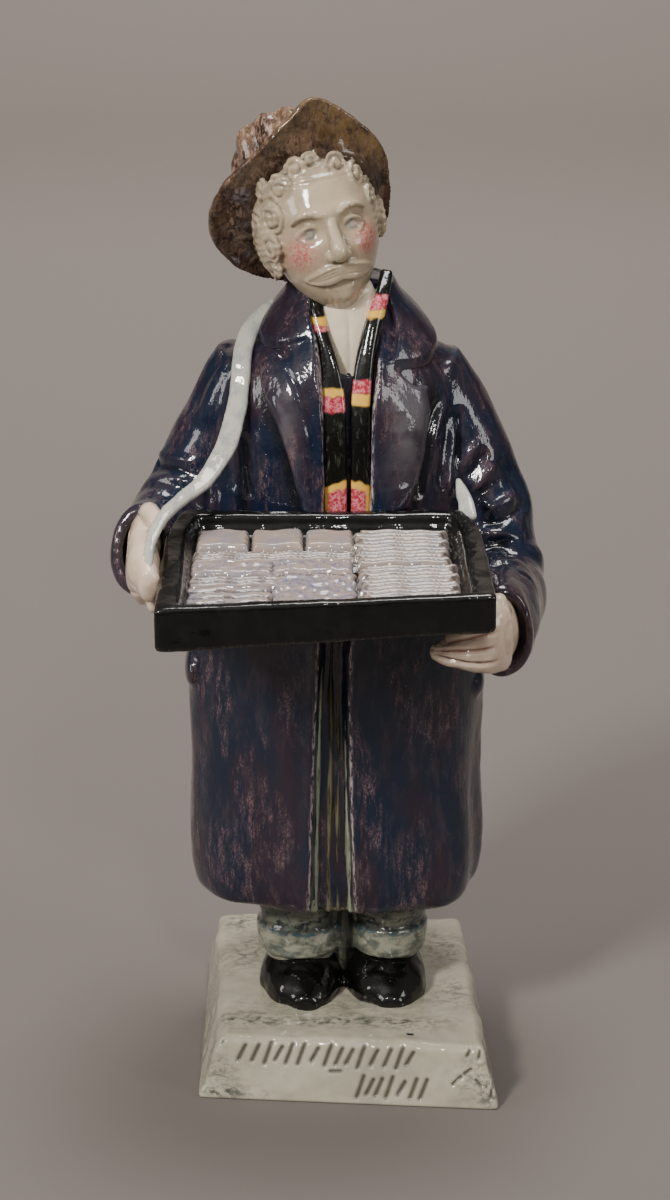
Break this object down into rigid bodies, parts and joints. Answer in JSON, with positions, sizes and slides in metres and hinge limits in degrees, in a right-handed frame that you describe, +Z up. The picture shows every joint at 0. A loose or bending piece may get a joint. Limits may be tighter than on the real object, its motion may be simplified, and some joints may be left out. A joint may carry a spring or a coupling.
{
  "type": "ceramic figure of a street seller",
  "caption": "Glazed ceramic figure of a standing street seller in hat and long coat, holding a shallow tray of goods by a neck strap, on a low square base.",
  "frame": {"origin": "on the flat underside of the base, below the figure, about 3 mm behind the middle of the underside", "axes": "+Z up along the figure's height, -Y to its front, +X to the right as seen from the front"},
  "size_m": [0.1296, 0.1314, 0.2994],
  "materials": {
    "coat_glaze": "glossy mottled navy and plum glaze",
    "hat_glaze": "glossy mottled brown and olive glaze",
    "cream_glaze": "glossy clear glaze over cream body, greyed in the hollows",
    "skin_glaze": "glossy clear glaze over cream and pink body",
    "black_glaze": "glossy black glaze",
    "scarf_glaze": "glossy black glaze with yellow and red bands",
    "strap_glaze": "glossy pale blue-grey glaze",
    "goods_glaze": "glossy white and lilac glaze",
    "trouser_glaze": "glossy cream, green and black mottled glaze"
  },
  "bodies": {
    "root": {"street_seller_figure": "coat_glaze"}
  },
  "joints": []
}
